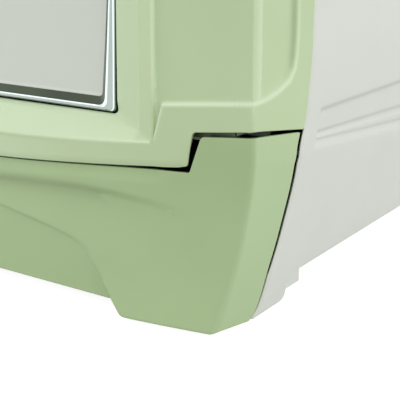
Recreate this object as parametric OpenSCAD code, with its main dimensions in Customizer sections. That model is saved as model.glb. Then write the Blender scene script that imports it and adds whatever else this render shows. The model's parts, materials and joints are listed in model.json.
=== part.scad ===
// Drawer litter box: enclosed housing, pull-out litter drawer, swinging front door and hinged top lid.
// Millimetres. X to the right, Y to the back, Z up. Origin: middle of the footprint, on the floor.

/* [Overall] */
// Width across the waist of the housing
body_w = 430; // [410:2:450]
// Depth from the toe of the front to the lid hinge
body_d = 530; // [510:2:560]
// Height from the floor to the top of the folded handle
body_h = 420; // [400:2:440]
// Height of the lid line above the floor
split_z = 345; // [340:1:350]
// Wall of the moulded shells
wall = 3.2; // [2.8:0.1:3.6]

/* [Housing sides] */
// Height of the waist, above which the sides stand upright
waist_z = 105; // [95:1:110]
// How far each side tapers in from the waist to the floor
floor_taper = 16; // [10:1:18]
// How far each side leans in from the shoulder to the lid line
crown_taper = 8; // [4:1:10]
// Height at which the sides and front begin to lean in
shoulder_z = 205; // [190:1:220]
// Height of the lower edge of the sides above the floor
skirt_z = 18; // [15:1:20]
// Radius of the rear corners
rear_r = 46; // [38:1:54]
// How far the back wall tapers in from the waist to the floor
rear_taper = 10; // [6:1:12]
// Depth of the stepped band pressed into each side
band_depth = 1.8; // [1.2:0.1:2]

/* [Front] */
// How far the front falls back from the middle to the corner crease
bow_rise = 22.6; // [18:0.2:26]
// Distance of the corner crease inside the widest point of the side
crease_inset = 14; // [12:0.5:16]
// How far the toe of the front reaches forward of its upright part
toe_reach = 32.5; // [28:0.5:34]
// Height at which the toe has blended into the upright front
toe_h = 100; // [95:1:105]
// How far the front leans back between the shoulder and the lid line
brow_lean = 3; // [1:0.5:4]
// Distance from the toe to the side seam, at the floor
seam_toe = 48; // [46:0.5:52]
// How far the side seam sweeps back over the height of the toe
seam_reach = 27; // [24:0.5:28]
// Slope of the side seam above the toe
seam_slope = 0.165; // [0.15:0.005:0.18]

/* [Drawer] */
// Height of the lowest edge of the drawer front
drawer_clear = 3; // [2:0.5:4]
// Height of the lower edge of the grip above the floor
grip_z = 9; // [8:0.5:12]
// Distance of the grip's ends from the widest point of the side
grip_inset = 100; // [97:1:110]
// Height of the top of the grip arch
grip_top = 55; // [50:1:60]
// Distance of the grip face behind the toe, at its lower edge
grip_back = 10; // [9:0.5:11]
// Slope of the grip face
grip_lean = 0.19; // [0.15:0.01:0.21]
// Height of the cover tab's lower edge in the middle
tab_z = 88; // [86:0.5:90]
// How much the tab's lower edge rises to its ends
tab_rise = 9; // [6:0.5:10]
// Distance of the tab's ends from the widest point of the side
tab_inset = 55; // [51:1:65]
// Height of the drawer front beside the tab
drawer_top = 120; // [118:0.5:122]
// Gap between the drawer front and its neighbours
drawer_gap = 1.2; // [1:0.1:1.6]
// Distance of the pan's inner side from the widest point of the side
pan_inset = 43; // [42:1:51]
// Height of the pan's underside
pan_z = 27; // [26:0.5:29]
// Height of the pan's front and rear walls
pan_low_z = 84; // [80:0.5:85]
// Height of the top of the pan's side flanges
flange_z = 108; // [106:0.5:109]
// Distance of the pan's front wall behind the toe
pan_front = 62; // [60:0.5:66]
// Length of the pan
pan_len = 424; // [400:1:428]

/* [Door] */
// Distance of the door opening from the widest point of the side
door_inset = 111; // [107:1:117]
// Height of the lower edge of the door opening
door_sill = 127; // [126:0.5:129]
// Height of the door's hinge axis
hinge_z = 321; // [316:0.5:322]
// Distance of the door's front face behind the toe
door_back = 38; // [37:0.25:39]
// Thickness of the door's rim
rim_t = 8; // [7:0.25:9]
// Width of the door's rim
rim_w = 9; // [8:0.5:12]
// Thickness of the door's panel
panel_t = 2.4; // [2:0.1:3]
// Gap round the door
door_gap = 1.8; // [1.5:0.1:2.2]
// Radius of the door's hinge rod
rod_r = 1.6; // [1.4:0.1:2]
// Distance of the ridge round the door surround from the widest point of the side
ridge_inset = 81; // [77:1:85]
// Height of the sill line in the middle
sill_line = 106; // [104:0.5:108]
// Depth of the pressed field beside the door surround
field_depth = 1.8; // [1.2:0.1:2]

/* [Lid] */
// How far the top of the lid is rounded in
lid_round = 46; // [36:1:54]
// Height of the folded handle above the lid
handle_proud = 6; // [4:0.5:8]
// Length of the carry handle between its pivots
handle_span = 150; // [130:1:170]
// Reach of the carry handle from its pivots to the grip
handle_reach = 62; // [54:1:70]
// Diameter of the handle's grip
grip_d = 16; // [14:0.5:18]
// Length of the filter cover across the lid
filter_w = 150; // [130:1:170]
// Width of the filter cover, front to back
filter_d = 84; // [70:1:96]
// Thickness of the carbon filter pad
filter_t = 8; // [6:0.5:10]
// Radius of the lid's hinge knuckles
knuckle_r = 5.5; // [5:0.25:6]

/* [Fixings] */
// Radius of the screw shanks
screw_r = 1.75; // [1.5:0.05:2]
// Radius of the screw heads
screw_head_r = 3.5; // [3:0.1:4]
// Radius of the rubber foot pads
pad_r = 6; // [5:0.25:7]
// Running clearance between a pin and its bore
pin_fit = 0.08; // [0.05:0.01:0.1]
// Clearance between pieces that are clipped together
snug = 0.2; // [0.15:0.05:0.25]

/* [Hidden] */
$fn = 48;

sage = "#aecb8f";
milk = "#dfe2da";
tray_grey = "#c9cdc6";
clear = [0.85, 0.9, 0.9, 0.4];
steel = "#b9bcc0";
black_rubber = "#303234";
charcoal = "#2b2d2e";

over = 1;
half_w = body_w/2;
front_y = -body_d/2;
rear_y = body_d/2 - 2*knuckle_r - 1;
grip_half = half_w - grip_inset;
tab_half = half_w - tab_inset;
pan_half = half_w - pan_inset;
door_half = half_w - door_inset;
ridge_half = half_w - ridge_inset;
foot_step = 16;
foot_x = grip_half + foot_step;
bow = bow_rise/pow(half_w - crease_inset, 2);
seam_power = 2.3;
foot_rise = toe_reach*(1 - pow(1 - drawer_clear/toe_h, 2));
toe_y = front_y - bow*foot_x*foot_x - foot_rise;
bow_steps = 21;

// ---- The outer form ------------------------------------------------------------------------

// How far along the shoulder-to-lid stretch a height lies, squared
function lean(z) = pow(max(0, z - shoulder_z)/(split_z - shoulder_z), 2);

// Outer face of the side wall
function side_x(z) = half_w - floor_taper*(1 - min(z, waist_z)/waist_z) - crown_taper*lean(z);

// Corner crease between the bowed front and its side return
function crease_x(z) = side_x(z) - crease_inset*(0.4 + 0.6*min(z, waist_z)/waist_z);

// Front face in the middle of the box
function mid_y(z) = toe_y + toe_reach*(1 - pow(1 - min(z, toe_h)/toe_h, 2)) + brow_lean*lean(z);

// Bowed front face
function front_at(x, z) = mid_y(z) + bow*x*x;

// Seam between the green front and the white side
function seam_at(z) = front_y + seam_toe + seam_reach*(1 - pow(1 - min(z, toe_h)/toe_h, seam_power))
                      + seam_slope*max(0, z - toe_h);

// Outer face of the back wall
function back_at(z) = rear_y - rear_taper*(1 - min(z, waist_z)/waist_z);

// Arc of points about a centre, from one angle to another
function arc(cx, cy, r, a0, a1, n) = [for (i = [0:n]) let (a = a0 + (a1 - a0)*i/n) [cx + r*cos(a), cy + r*sin(a)]];

// Plan of the bowed front, moved inwards by t, from the left crease to the right one
function bow_points(z, t) = let (c = crease_x(z) - 0.75*t)
    [for (i = [0:bow_steps]) let (x = -c + 2*c*i/bow_steps) [x, front_at(x, z) + t]];

// Closed plan of the front, moved inwards by t, its back edge moved by back from the seam. Behind the seam it runs
// straight back, and it always has the same number of points.
function front_section(z, t, back) = let (s = side_x(z) - t, y = seam_at(z), bow = bow_points(z, t), end = bow[bow_steps],
    corner = back > 0 ? [s, y] : end + 0.98*([s, y + back] - end))
    concat([[-s, y + back], [-corner[0], corner[1]]], bow, [corner, [s, y + back]]);

// Closed plan of the housing behind the seam, moved inwards by t, its front edge moved by ext
function body_section(z, t, ext) = let (s = side_x(z) - t, y = seam_at(z) + ext, r = rear_r - t, b = back_at(z) - t)
    concat([[-s, y], [s, y]], arc(s - r, b - r, r, 0, 90, 8), arc(r - s, b - r, r, 90, 180, 8));

// Closed plan of the whole box at the lid line, moved inwards by t
function full_section(t) = let (z = split_z, s = side_x(z) - t, r = rear_r - 0.5*t, b = back_at(z) - t)
    concat(bow_points(z, t), [[s, seam_at(z)]], arc(s - r, b - r, r, 0, 90, 8),
           arc(r - s, b - r, r, 90, 180, 8), [[-s, seam_at(z)]]);

// A ring of plan points at one height
function at_z(section, z) = [for (p = section) [p[0], p[1], z]];

// Mean of a ring
function centre(ring) = [for (k = [0:2]) let (v = [for (p = ring) p[k]]) v*[for (p = ring) 1]/len(ring)];

// Closed solid through a list of rings, each with as many points, its ends closed by fans
module loft(rings) {
    n = len(rings[0]);
    m = len(rings);
    sides = [for (j = [0:m - 2]) for (i = [0:n - 1]) let (a = j*n + i, b = j*n + (i + 1)%n)
        each [[a, a + n, b + n], [a, b + n, b]]];
    bottom = [for (i = [0:n - 1]) [m*n, i, (i + 1)%n]];
    top = [for (i = [0:n - 1]) [m*n + 1, (m - 1)*n + (i + 1)%n, (m - 1)*n + i]];
    points = concat([for (r = rings) each r], [centre(rings[0]), centre(rings[m - 1])]);
    polyhedron(points = points, faces = concat(sides, bottom, top));
}

// Prism of an XZ outline, from y0 to y1
module prism_y(outline, y0, y1) {
    translate([0, y1, 0]) rotate([90, 0, 0]) linear_extrude(height = y1 - y0) polygon(outline);
}

// Prism of a YZ outline, from x0 to x1
module prism_x(outline, x0, x1) {
    translate([x0, 0, 0]) rotate([90, 0, 90]) linear_extrude(height = x1 - x0) polygon(outline);
}

// Box between two corners
module block(lo, hi) {
    translate(lo) cube(hi - lo);
}

// Cylinder along Y and along X
module rod_y(x, z, r, y0, y1) {
    translate([x, y1, z]) rotate([90, 0, 0]) cylinder(r = r, h = y1 - y0);
}
module rod_x(y, z, r, x0, x1) {
    translate([x0, y, z]) rotate([0, 90, 0]) cylinder(r = r, h = x1 - x0);
}

// The same shape on the left and on the right
module both_sides() {
    children();
    mirror([1, 0, 0]) children();
}

low_levels = [for (f = [0, 0.1, 0.2, 0.3, 0.42, 0.55, 0.7, 0.85, 1]) f*toe_h];
high_levels = [for (i = [1:4]) shoulder_z + (split_z - shoulder_z)*i/4];

// Solid of the drawer zone of the front, and of the zone above it
module low_front(t, back) {
    loft([for (z = concat([-over - t, drawer_clear - 0.5], [for (k = [1:8]) low_levels[k]], [waist_z + 1, drawer_top + 30]))
        at_z(front_section(max(z, 0), t, back), z)]);
}
module high_front(t, back, top) {
    loft([for (z = concat([for (k = [6:8]) low_levels[k]], [waist_z + 1, shoulder_z], high_levels))
        at_z(front_section(z, t, back), z == split_z ? z + top : z)]);
}

// Everything from before the front to behind the seam
module front_block() {
    block([-half_w - 10, front_y - 80, -10], [half_w + 10, front_y + 140, split_z + 10]);
}

// ---- Shared places ---------------------------------------------------------------------------

strip_len = 48;
strip_back = front_y + seam_toe + strip_len;
strip_bottom = 0.8;
strip_round = 8;
inner_x = side_x(waist_z) - wall;

pan_y0 = front_y + pan_front;
pan_y1 = pan_y0 + pan_len;
pan_r = 14;
pan_wall = 3;
runner_play = 0.3;
flange_lip = 3;
runner_top = flange_z - flange_lip - runner_play;
runner_in = pan_half + wall + 10;
runner_front = pan_y0 + 30;
runner_back = rear_y - rear_r - 1;
runner_h = 16;
runner_t = 3;

cover_gap = 0.4;
cover_wall = wall + field_depth;
cover_screw_z = [150, 225, 300];
flange_t = 3;

beam_y = pan_y0 + 24;
beam_d = 7;
beam_top = flange_z + 11;
step_t = 3.4;
step_z = beam_top + snug;
step_front = pan_y0 - 14;
step_back = pan_y0 + 110;
wing_y = pan_y0 + 46;

door_y = front_y + door_back;
hinge_y = door_y + rim_t/2;
opening_top = hinge_z + rod_r + 4 + door_gap;
barrel_r = rod_r + 4;

foot_len = 16;
foot_w = 20;
foot_z = 1;
foot_y = [front_y + 111, rear_y - rear_r - 2*foot_len + 2];
foot_mid = side_x(0) - 8.5 - foot_w/2;

lid_gap = 0.6;
lid_top = body_h - handle_proud;
lid_axis_y = rear_y + knuckle_r + 1;
lid_axis_z = split_z + 1.5;
knuckle_x = 130;
knuckle_len = 30;
ear_len = 10;
pin_r = 2;

// ---- Housing -------------------------------------------------------------------------------

// Upper and lower edges of the pressed band, which widens towards the back
band_y0 = front_y + 101;
band_y1 = rear_y - rear_r - 6;
band_run = band_y1 - band_y0;
band_top = 130;
band_outline = [[band_y0, 116], [band_y0 + 3, band_top], [band_y1, band_top], [band_y1 - 8, 116 - 0.045*band_run]];
bead_outline = [[band_y0 - 2, 106.5], [band_y0 - 1, 110.8], [band_y1 - 10, 110.8 - 0.075*band_run],
                [band_y1 - 12, 105.5 - 0.088*band_run]];

module cover_flanges(y0, y1) {
    both_sides() loft([for (z = concat([136], high_levels)) let (s = side_x(z) - wall/2, y = seam_at(z))
        [[s - 15, y + y0, z - 6], [s, y + y0, z - 6], [s, y + y1, z - 6], [s - 15, y + y1, z - 6]]]);
}

module cover_screw_bores(r, y0, y1) {
    for (z = cover_screw_z) both_sides() rod_y(side_x(z) - wall - 7, z, r, seam_at(z) + y0, seam_at(z) + y1);
}

module lid_ears() {
    for (s = [-1, 1]) for (e = [-1, 1]) {
        x0 = s*knuckle_x + e*(knuckle_len/2 + 0.5 + ear_len/2) - ear_len/2;
        rod_x(lid_axis_y, lid_axis_z, knuckle_r, x0, x0 + ear_len);
        prism_x([[rear_y - wall/2, split_z - 18], [lid_axis_y - knuckle_r + 1, split_z - 10],
                 [lid_axis_y + knuckle_r - 0.6, lid_axis_z - 1.5], [lid_axis_y - 2, lid_axis_z + 1],
                 [rear_y - wall/2, split_z - 1]], x0, x0 + ear_len);
    }
}

module main_body() {
    color(milk) difference() {
        union() {
            difference() {
                loft([for (z = concat([strip_bottom], [for (k = [1:8]) low_levels[k]], [waist_z, shoulder_z], high_levels))
                    at_z(body_section(z, 0, cover_gap/2), z)]);
                loft([for (z = concat([-over], [for (k = [1:8]) low_levels[k]], [waist_z, shoulder_z], high_levels))
                    at_z(body_section(max(z, 0), wall, -20), z == split_z ? z + over : z)]);
                prism_x([[strip_back, -over], [strip_back, skirt_z - 4], [strip_back + 4, skirt_z],
                         [rear_y + over, skirt_z], [rear_y + over, -over]], -half_w, half_w);
                both_sides() prism_x(band_outline, half_w - band_depth, half_w + over);
                both_sides() prism_x(bead_outline, half_w - 0.6*band_depth, half_w + over);
            }
            // Inner lips that carry the base plate, the runners' seats and the front beam
            both_sides() block([side_x(skirt_z) - wall - 8, strip_back + 14, skirt_z],
                               [side_x(skirt_z) - wall + over, rear_y - rear_r, skirt_z + 3]);
            both_sides() block([runner_in + 4, beam_y, beam_top - beam_d], [inner_x + over, step_back, beam_top]);
            block([-inner_x - over, beam_y, beam_top - beam_d], [inner_x + over, beam_y + beam_d, beam_top]);
            cover_flanges(1, 1 + flange_t);
            lid_ears();
        }
        cover_screw_bores(screw_r + 0.1, 0, flange_t + 2);
        cover_screw_bores(screw_head_r + 0.3, 1 + flange_t, flange_t + 4);
        for (s = [-1, 1]) rod_x(lid_axis_y, lid_axis_z, pin_r + 0.02, s*knuckle_x - 40, s*knuckle_x + 40);
    }
}

module base_plate() {
    z0 = skirt_z + 3 + snug;
    color(milk) difference() {
        union() {
            intersection() {
                loft([for (z = [z0, z0 + wall]) at_z(body_section(z, wall + snug, 8), z)]);
                block([-half_w, strip_back - 20, z0 - over], [half_w, rear_y, z0 + wall + over]);
            }
            for (y = foot_y) both_sides() {
                block([foot_mid - foot_w/2, y, foot_z], [foot_mid + foot_w/2, y + foot_len, z0 + 1]);
            }
        }
        foot_bores(pad_r + snug, 2);
    }
}

module foot_bores(r, depth) {
    for (y = foot_y) both_sides() {
        translate([foot_mid, y + foot_len/2, -over]) cylinder(r = r, h = over + foot_z + depth);
    }
}

module foot_pads() {
    color(black_rubber) intersection() {
        foot_bores(pad_r, 2 - snug);
        block([-half_w, front_y, 0], [half_w, rear_y, skirt_z]);
    }
}

// ---- Runners ---------------------------------------------------------------------------------

function wall_in(z) = side_x(z) - wall - snug;

runner_screw_y = [runner_front + 20, (runner_front + runner_back)/2, runner_back - 20];
runner_screw_z = runner_top - runner_h + 4;

module runner() {
    t = runner_t;
    prism_at = [[runner_in, runner_top - t], [runner_in, runner_top], [wall_in(runner_top), runner_top],
                [wall_in(runner_top - runner_h), runner_top - runner_h],
                [wall_in(runner_top - runner_h) - t, runner_top - runner_h],
                [wall_in(runner_top - t) - t, runner_top - t]];
    difference() {
        prism_y(prism_at, runner_front, runner_back);
        for (y = runner_screw_y) rod_x(y, runner_screw_z, screw_r + 0.1, runner_in, half_w);
    }
}

module left_runner() {
    color(milk) mirror([1, 0, 0]) runner();
}

module right_runner() {
    color(milk) runner();
}

module screw_x(y, z, x, len) {
    rod_x(y, z, screw_head_r, x - 2, x);
    rod_x(y, z, screw_r, x - over, x + len);
}

module runner_screws() {
    color(steel) for (y = runner_screw_y) both_sides() {
        screw_x(y, runner_screw_z, wall_in(runner_top - runner_h) - runner_t - 0.1, wall);
    }
}

// ---- Front cover -------------------------------------------------------------------------------

function tab_edge(x) = tab_z + tab_rise*pow(abs(x)/tab_half, 1.4);

step_run = 5;
arch_x = crease_x(drawer_top) + 1;

// Lower edge of the front cover, from the middle to the side, lowered by d and moved out at the step, so that the
// steep part of the gap stays open
step_open = 1.6;
function cover_edge(d) = concat(
    [for (i = [0:8]) let (x = tab_half*i/8) [x + step_open*d*i/8, tab_edge(x) - d]],
    [[tab_half + step_run + step_open*d, drawer_top + 0.6 - d]],
    [[tab_half + step_run + 18, drawer_top + 3.2 - d], [arch_x, drawer_top + 5 - d],
     [half_w + 2*over, drawer_top + 1 - d]]);

function mirrored(points) = [for (i = [len(points) - 1:-1:1]) [-points[i][0], points[i][1]]];

function whole_edge(d) = concat(mirrored(cover_edge(d)), cover_edge(d));

module above_edge(top) {
    prism_y(concat(whole_edge(0), [[half_w + 2*over, top], [-half_w - 2*over, top]]), front_y - 60, 0);
}

// Splayed door surround: ring at the door plane and ring on the front, grown by g
ridge_top = split_z - 9;
function sill_at(x) = sill_line + 6*pow(abs(x)/ridge_half, 1.5);
function surround_ring(g, f) = let (n = 8)
    concat(
        [for (i = [0:n]) let (u = -1 + 2*i/n, x0 = (door_half + g)*u, x1 = (ridge_half + g)*u, z1 = sill_at(ridge_half*u) - g)
            blend([x0, door_y + g, door_sill - g], [x1, front_at(x1, z1), z1], f)],
        [for (i = [0:n]) let (u = 1 - 2*i/n, x0 = (door_half + g)*u, x1 = (ridge_half + g)*u, z1 = ridge_top + g)
            blend([x0, door_y + g, opening_top + g], [x1, front_at(x1, z1), z1], f)]);

function blend(a, b, f) = a + (b - a)*f;

module surround(g) {
    loft([surround_ring(g, -0.02), surround_ring(g, 2)]);
}

// The pressed field between the surround and the side, in the front view
field_corner = crease_x(waist_z) - 4;
field_outer = side_x(shoulder_z) - 3.2;
field_low = drawer_top + 17;
field_high = split_z - 14;
field_arc = 14;
field_outline = concat(
    [[ridge_half - 0.5, sill_at(ridge_half) + 1], [ridge_half + 8, field_low], [field_corner, field_low + 4]],
    arc(field_outer - field_arc, field_low + 34, field_arc, -50, 0, 4),
    arc(field_outer - 6 - field_arc, field_high - 20, field_arc, 0, 90, 4),
    [[ridge_half - 0.5, field_high]]);

module field_cut() {
    both_sides() difference() {
        prism_y(field_outline, front_y - 60, front_y + 130);
        high_front(field_depth, 20, 5);
    }
}

lug_x = door_half + 0.6;
lug_len = 9;

module front_cover() {
    color(sage) difference() {
        intersection() {
            high_front(0, -cover_gap/2, 0);
            above_edge(split_z + 5);
            union() {
                difference() {
                    front_block();
                    high_front(cover_wall, 20, 5);
                }
                surround(cover_wall);
                cover_flanges(-1 - flange_t, -1);
                // Lugs that carry the ends of the door's hinge rod
                both_sides() block([lug_x, door_y - 2, hinge_z - 9],
                                   [lug_x + lug_len, door_y + rim_t + 4, hinge_z + 8]);
            }
        }
        surround(0);
        prism_y([[-door_half, door_sill], [door_half, door_sill], [door_half, opening_top], [-door_half, opening_top]],
                front_y - 60, door_y + 30);
        field_cut();
        rod_x(hinge_y, hinge_z, rod_r + 0.02, -door_half - 8, door_half + 8);
        cover_screw_bores(screw_r + 0.1, -flange_t - 4, 0);
    }
}

module cover_screws() {
    color(steel) {
        cover_screw_bores(screw_head_r, 1 + flange_t + 0.1, 1 + flange_t + 2.1);
        cover_screw_bores(screw_r, -flange_t - 1.6, 1 + flange_t + 1);
    }
}

// ---- Entry step --------------------------------------------------------------------------------

step_half = inner_x - 2;
slot_l = 26;
slot_w = 8;
slot_pitch = 24;
slot_rows = 3;

module slot(x, y, l, w, z0, z1) {
    block([x - w/2, y - l/2 + w/2, z0], [x + w/2, y + l/2 - w/2, z1]);
    for (s = [-1, 1]) translate([x, y + s*(l - w)/2, z0]) cylinder(r = w/2, h = z1 - z0, $fn = 24);
}

module entry_step() {
    z1 = step_z + step_t;
    cols = floor((step_half - 26)/slot_pitch);
    color(milk) difference() {
        union() {
            block([-runner_in, step_front, step_z], [runner_in, step_back, z1]);
            block([-step_half, wing_y, step_z], [step_half, step_back, z1]);
            block([-runner_in, step_front, step_z - 5], [runner_in, step_front + 3, step_z + 1]);
        }
        for (r = [0:slot_rows - 1]) for (c = [-cols:cols]) {
            slot(c*slot_pitch, beam_y + 24 + r*(slot_l + 7), slot_l, slot_w, step_z - over, z1 + over);
        }
    }
}

// ---- Door --------------------------------------------------------------------------------------

door_edge = door_half - door_gap;
door_low = door_sill + door_gap;
door_r = 7;

// Rounded rectangle in XZ with round lower corners, from the bottom to the hinge axis
function door_outline(g, r) = concat(
    arc(-door_edge + g + r, door_low + g + r, r, 180, 270, 6), arc(door_edge - g - r, door_low + g + r, r, 270, 360, 6),
    [[door_edge - g, hinge_z - (g > 0 ? g + 2 : 0)], [-door_edge + g, hinge_z - (g > 0 ? g + 2 : 0)]]);

module door_rim() {
    color(clear) difference() {
        union() {
            prism_y(door_outline(0, door_r), door_y, door_y + rim_t);
            rod_x(hinge_y, hinge_z, barrel_r, -door_edge, door_edge);
        }
        prism_y(door_outline(rim_w, door_r - 2), door_y - over, door_y + rim_t + over);
        rod_x(hinge_y, hinge_z, rod_r + pin_fit, -door_half, door_half);
    }
}

module door_panel() {
    color(clear) prism_y(door_outline(rim_w + 0.1, door_r - 2), hinge_y - panel_t/2, hinge_y + panel_t/2);
}

module hinge_rod() {
    color(steel) rod_x(hinge_y, hinge_z, rod_r, -door_half - 7.5, door_half + 7.5);
}

// ---- Drawer ------------------------------------------------------------------------------------

boss_x = [0.41*pan_half, 0.85*pan_half];
boss_z = [50, 66];
boss_r = 5;

module rounded_plan(x, y0, y1, r) {
    translate([0, (y0 + y1)/2]) {
        square([2*x - 2*r, y1 - y0], center = true);
        square([2*x, y1 - y0 - 2*r], center = true);
        for (sx = [-1, 1]) for (sy = [-1, 1]) translate([sx*(x - r), sy*((y1 - y0)/2 - r)]) circle(r = r);
    }
}

module litter_drawer() {
    cut_in = tab_half + step_run + 2;
    color(tray_grey) difference() {
        union() {
            translate([0, 0, pan_z]) linear_extrude(height = flange_z - pan_z)
                rounded_plan(pan_half + pan_wall, pan_y0, pan_y1, pan_r);
            both_sides() block([pan_half, pan_y0 + pan_r + 8, flange_z - flange_lip],
                               [inner_x - 9, pan_y1 - pan_r, flange_z]);
        }
        translate([0, 0, pan_z + pan_wall]) linear_extrude(height = flange_z)
            rounded_plan(pan_half, pan_y0 + pan_wall, pan_y1 - pan_wall, pan_r - pan_wall);
        prism_y([[-cut_in, pan_low_z], [cut_in, pan_low_z], [cut_in + 3, flange_z + over], [-cut_in - 3, flange_z + over]],
                pan_y0 - over, pan_y1 + over);
        boss_bores(screw_r + 0.1, pan_y0 - over, pan_y0 + pan_wall + over);
    }
}

module boss_bores(r, y0, y1) {
    for (i = [0:1]) both_sides() rod_y(boss_x[i], boss_z[i], r, y0, y1);
}

// Outline of the drawer front: feet, raised grip edge, and the stepped top under the cover
drawer_foot = drawer_clear;
function drawer_bottom() = [[-half_w - over, drawer_foot], [-foot_x, drawer_foot], [-grip_half, grip_z],
                            [grip_half, grip_z], [foot_x, drawer_foot], [half_w + over, drawer_foot]];
module drawer_outline() {
    top = [for (p = whole_edge(drawer_gap)) [p[0], min(p[1], drawer_top)]];
    prism_y(concat(drawer_bottom(), [for (i = [len(top) - 1:-1:0]) top[i]]), front_y - 60, 0);
}

// Point on a quadratic curve with ends a and c, drawn towards b
function bend(a, b, c, u) = (1 - u)*(1 - u)*a + 2*u*(1 - u)*b + u*u*c;

// Arch over the finger grip, from its crown down to the right foot, grown by g
function grip_arch(g) = let (w = grip_half, h = grip_top + g)
    concat([for (i = [0:4]) bend([0, h], [0.28*w, h - 1], [0.57*w, h - 8], i/4)],
           [for (i = [1:5]) bend([0.57*w, h - 8], [0.79*w + g/2, h - 12], [0.9*w + g, h - 27], i/5)],
           [[w + 6 + g, grip_z], [w + 6 + g, -over]]);

module grip_prism(g, y0, y1) {
    prism_y(concat(mirrored(grip_arch(g)), grip_arch(g)), y0, y1);
}

// Slab in front of, or behind, the leaning face of the grip
module grip_slab(d0, d1) {
    y0 = front_y + grip_back - grip_lean*grip_z;
    y1 = y0 + grip_lean*toe_h;
    prism_x([[y0 + d0, 0], [y0 + d1, 0], [y1 + d1, toe_h], [y1 + d0, toe_h]], -half_w, half_w);
}

module drawer_front() {
    color(sage) difference() {
        intersection() {
            low_front(0, -drawer_gap);
            drawer_outline();
            union() {
                difference() {
                    front_block();
                    low_front(wall, 20);
                }
                intersection() {
                    grip_prism(wall, front_y - 60, 0);
                    grip_slab(-60, wall);
                }
                boss_bores(boss_r, front_y - 20, pan_y0 - 0.05);
            }
        }
        intersection() {
            grip_prism(0, front_y - 60, 0);
            grip_slab(-60, 0);
        }
        boss_bores(screw_r + 0.1, pan_y0 - 14, pan_y0 + over);
    }
}

module drawer_screws() {
    color(steel) {
        boss_bores(screw_head_r, pan_y0 + pan_wall + 0.1, pan_y0 + pan_wall + 2.1);
        boss_bores(screw_r, pan_y0 - 12, pan_y0 + pan_wall + 1);
    }
}

// ---- Lid ---------------------------------------------------------------------------------------

dome_power = 2.3;
lip_in = cover_wall + 0.8;
lip_t = 2.4;
lid_rise = lid_top - split_z - lid_gap;
dome_steps = 8;
function dome_z(i, t) = split_z + lid_gap + (lid_rise - t)*sin(90*i/dome_steps);
function dome_in(i, t) = t + lid_round*(1 - pow(cos(90*i/dome_steps), 2/dome_power));

module dome(t) {
    rings = [for (i = [0:dome_steps]) at_z(full_section(dome_in(i, t)), dome_z(i, t))];
    loft(t > 0 ? concat([at_z(full_section(t), split_z - 2)], rings) : rings);
}

handle_y = -handle_reach/2 - 10;
tub_depth = 16;
tub_w = handle_span + 44;
tub_front = handle_y - 16;
tub_back = handle_y + handle_reach + 22;
handle_axis_z = lid_top - 8;
arm_w = 14;
arm_t = 9;
handle_pin_r = 2.5;

filter_y0 = tub_back + 26;
filter_y1 = filter_y0 + filter_d;
filter_mid = (filter_y0 + filter_y1)/2;
filter_lip = 4;
cover_seat = 3;
filter_floor = lid_top - cover_seat - filter_t - 2;
vent_w = 8;
vent_pitch = 0.12*filter_w;
grille_w = 5;
grille_pitch = 0.08*filter_w;

module lid_ribs() {
    // Locating lip inside the housing's rim
    difference() {
        loft([for (p = [[-5, lip_in], [2.5, lip_in], [3, wall - 1], [8, wall - 1]])
            at_z(full_section(p[1]), split_z + p[0])]);
        loft([for (z = [split_z - 6, split_z + 9]) at_z(full_section(lip_in + lip_t), z)]);
    }
}

module top_lid() {
    color(milk) difference() {
        union() {
            difference() {
                dome(0);
                dome(wall);
            }
            intersection() {
                union() {
                    block([-tub_w/2 - wall, tub_front - wall, lid_top - tub_depth - wall], [tub_w/2 + wall, tub_back + wall, lid_top]);
                    block([-filter_w/2 - wall, filter_y0 - wall, filter_floor - wall],
                          [filter_w/2 + wall, filter_y1 + wall, lid_top]);
                }
                dome(0);
            }
            lid_ribs();
            for (s = [-1, 1]) {
                rod_x(lid_axis_y, lid_axis_z, knuckle_r, s*knuckle_x - knuckle_len/2, s*knuckle_x + knuckle_len/2);
                block([s*knuckle_x - knuckle_len/2, rear_y - wall/2 - 1, lid_axis_z + 0.5],
                      [s*knuckle_x + knuckle_len/2, lid_axis_y, lid_axis_z + knuckle_r - 0.5]);
            }
        }
        block([-tub_w/2, tub_front, lid_top - tub_depth], [tub_w/2, tub_back, lid_top + over]);
        block([-filter_w/2, filter_y0, lid_top - cover_seat], [filter_w/2, filter_y1, lid_top + over]);
        block([-filter_w/2 + filter_lip, filter_y0 + filter_lip, filter_floor],
              [filter_w/2 - filter_lip, filter_y1 - filter_lip, lid_top]);
        for (c = [-3:3]) slot(c*vent_pitch, filter_mid, filter_d - 34, vent_w, filter_floor - wall - over, filter_floor + over);
        for (s = [-1, 1]) rod_x(lid_axis_y, lid_axis_z, pin_r + pin_fit, s*knuckle_x - 20, s*knuckle_x + 20);
        rod_x(handle_y, handle_axis_z, handle_pin_r + 0.02, -tub_w/2 - 2.6, tub_w/2 + 2.6);
    }
}

module lid_hinge_pins() {
    half = knuckle_len/2 + 0.5 + ear_len;
    color(steel) for (s = [-1, 1]) {
        rod_x(lid_axis_y, lid_axis_z, pin_r, s*knuckle_x - half, s*knuckle_x + half);
    }
}

module carbon_filter() {
    color(charcoal) block([-filter_w/2 + filter_lip + 0.5, filter_y0 + filter_lip + 0.5, filter_floor + 0.1],
                          [filter_w/2 - filter_lip - 0.5, filter_y1 - filter_lip - 0.5, filter_floor + filter_t + 0.1]);
}

module filter_cover() {
    z0 = lid_top - cover_seat + 0.1;
    color(sage) difference() {
        block([-filter_w/2 + 0.4, filter_y0 + 0.4, z0], [filter_w/2 - 0.4, filter_y1 - 0.4, z0 + 3.4]);
        for (c = [-5:5]) slot(c*grille_pitch, filter_mid, filter_d - 26, grille_w, z0 - over, z0 + 5);
    }
}

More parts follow.
